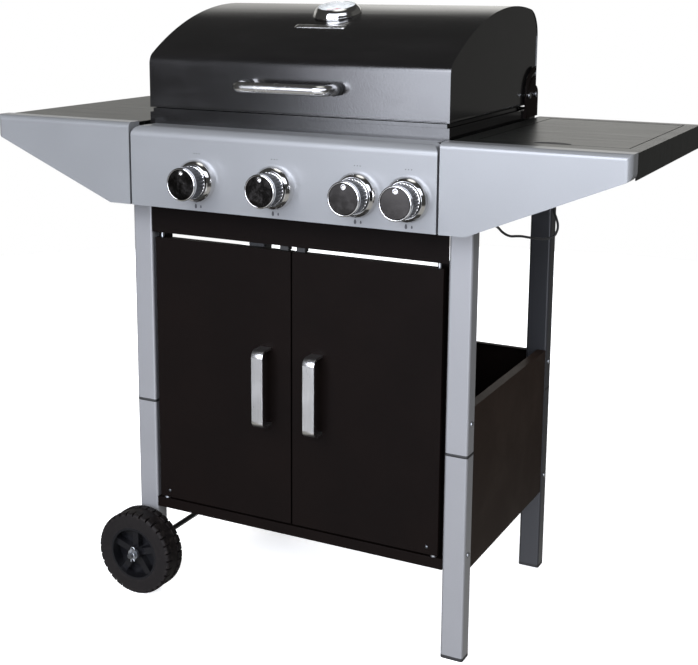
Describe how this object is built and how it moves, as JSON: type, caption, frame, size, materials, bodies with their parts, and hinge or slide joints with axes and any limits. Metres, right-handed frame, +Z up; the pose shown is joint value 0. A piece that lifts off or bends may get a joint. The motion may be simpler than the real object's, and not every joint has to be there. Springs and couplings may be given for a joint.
{
  "type": "gas barbecue grill",
  "caption": "Free-standing gas grill with a domed hinged lid, knobs on a front panel, a side burner under a flush lid, side shelves, a two-door cabinet and wheels at one side.",
  "frame": {"origin": "middle of the bounding box's base, on the floor", "axes": "+X to the right seen from the front, along the side shelves; +Y to the back; +Z up"},
  "size_m": [1.164, 0.6036, 1.0843],
  "materials": {
    "leg_paint": "silver metallic paint, satin",
    "silver_paint": "silver metallic paint, smooth satin",
    "black_coat": "black powder coat, low sheen",
    "black_enamel": "black enamel, semi-gloss",
    "shelf_coat": "dark grey powder coat, satin",
    "chrome": "polished",
    "knob_chrome": "chromed plastic, polished, with a grey fluted band",
    "brushed_bar": "brushed along its length",
    "stainless": "rolled steel, satin",
    "zinc": "zinc plated",
    "brass": "turned, satin",
    "cast_iron": "matte enamelled cast iron",
    "black_plastic": "moulded, matte",
    "tyre": "moulded tread",
    "rim_plastic": "moulded, glossy",
    "glass": "clear domed glass",
    "lead_rubber": "smooth black sleeve"
  },
  "bodies": {
    "stand": {"leg_front_left": "leg_paint", "leg_front_right": "leg_paint", "leg_rear_left": "leg_paint", "leg_rear_right": "leg_paint", "leg_collars": "black_plastic", "foot_caps": "black_plastic", "side_panel_left": "black_coat", "side_panel_right": "black_coat", "back_panel": "black_coat", "base_tray": "black_coat", "header_panel": "black_coat", "rear_cross_rail": "black_coat", "door_hinge_pins": "zinc", "door_catches": "zinc", "control_panel": "silver_paint", "knob_bezels": "chrome", "gas_valves": "brass", "gas_manifold": "zinc", "firebox": "black_enamel", "burner_tubes": "stainless", "flame_tamers": "stainless", "cooking_grates": "cast_iron", "warming_rack": "chrome", "drip_tray_runners": "black_coat", "lid_hinge_brackets": "black_coat", "shelf_left": "shelf_coat", "shelf_left_front": "silver_paint", "shelf_right": "shelf_coat", "shelf_right_front": "silver_paint", "side_burner_bowl": "stainless", "side_burner_head": "brass", "side_burner_grate": "cast_iron", "wheel_axle": "zinc", "axle_clips": "zinc", "ignition_lead": "lead_rubber"},
    "lid": {"lid_shell": "black_enamel", "lid_ends": "black_enamel", "lid_handle": "chrome", "lid_handle_standoffs": "black_plastic", "thermometer_case": "chrome", "thermometer_glass": "glass", "lid_hinge_screws": "zinc"},
    "side_burner_lid": {"side_burner_lid": "shelf_coat"},
    "door_left": {"door_left": "black_coat", "door_handle_left": "brushed_bar"},
    "door_right": {"door_right": "black_coat", "door_handle_right": "brushed_bar"},
    "drip_tray": {"drip_tray": "zinc"},
    "front_wheel": {"front_wheel_rim": "rim_plastic", "front_wheel_tyre": "tyre"},
    "rear_wheel": {"rear_wheel_rim": "rim_plastic", "rear_wheel_tyre": "tyre"},
    "valve_stem_1": {"valve_stem_1": "zinc"},
    "knob_1": {"knob_1": "knob_chrome"},
    "valve_stem_2": {"valve_stem_2": "zinc"},
    "knob_2": {"knob_2": "knob_chrome"},
    "valve_stem_3": {"valve_stem_3": "zinc"},
    "knob_3": {"knob_3": "knob_chrome"},
    "valve_stem_4": {"valve_stem_4": "zinc"},
    "knob_4": {"knob_4": "knob_chrome"}
  },
  "joints": [
    {"name": "lid_hinge", "type": "hinge", "parent": "stand", "child": "lid", "pos_m": [0, 0.2037, 0.918], "axis": [-1, 0, 0], "range_deg": [0, 90]},
    {"name": "side_burner_lid_hinge", "type": "hinge", "parent": "stand", "child": "side_burner_lid", "pos_m": [0.439, 0.1857, 0.8705], "axis": [-1, 0, 0], "range_deg": [0, 95]},
    {"name": "door_left_hinge", "type": "hinge", "parent": "stand", "child": "door_left", "pos_m": [-0.267, -0.1873, 0.42], "axis": [0, 0, -1], "range_deg": [0, 110]},
    {"name": "door_right_hinge", "type": "hinge", "parent": "stand", "child": "door_right", "pos_m": [0.267, -0.1873, 0.42], "axis": [0, 0, 1], "range_deg": [0, 110]},
    {"name": "drip_tray_slide", "type": "slide", "parent": "stand", "child": "drip_tray", "axis": [0, 1, 0], "range_m": [0, 0.3]},
    {"name": "front_wheel_spin", "type": "hinge", "parent": "stand", "child": "front_wheel", "pos_m": [-0.305, -0.2243, 0.078], "axis": [0, 1, 0], "continuous": true},
    {"name": "rear_wheel_spin", "type": "hinge", "parent": "stand", "child": "rear_wheel", "pos_m": [-0.305, 0.2657, 0.078], "axis": [0, 1, 0], "continuous": true},
    {"name": "knob_1_push", "type": "slide", "parent": "stand", "child": "valve_stem_1", "axis": [0, 1, 0], "range_m": [0, 0.004], "stiffness_N_per_m": 1500},
    {"name": "knob_1_turn", "type": "hinge", "parent": "valve_stem_1", "child": "knob_1", "pos_m": [-0.15, -0.2743, 0.787], "axis": [0, -1, 0], "range_deg": [0, 180]},
    {"name": "knob_2_push", "type": "slide", "parent": "stand", "child": "valve_stem_2", "axis": [0, 1, 0], "range_m": [0, 0.004], "stiffness_N_per_m": 1500},
    {"name": "knob_2_turn", "type": "hinge", "parent": "valve_stem_2", "child": "knob_2", "pos_m": [0, -0.2743, 0.787], "axis": [0, -1, 0], "range_deg": [0, 180]},
    {"name": "knob_3_push", "type": "slide", "parent": "stand", "child": "valve_stem_3", "axis": [0, 1, 0], "range_m": [0, 0.004], "stiffness_N_per_m": 1500},
    {"name": "knob_3_turn", "type": "hinge", "parent": "valve_stem_3", "child": "knob_3", "pos_m": [0.15, -0.2743, 0.787], "axis": [0, -1, 0], "range_deg": [0, 180]},
    {"name": "knob_4_push", "type": "slide", "parent": "stand", "child": "valve_stem_4", "axis": [0, 1, 0], "range_m": [0, 0.004], "stiffness_N_per_m": 1500},
    {"name": "knob_4_turn", "type": "hinge", "parent": "valve_stem_4", "child": "knob_4", "pos_m": [0.238, -0.2743, 0.787], "axis": [0, -1, 0], "range_deg": [0, 180]}
  ]
}
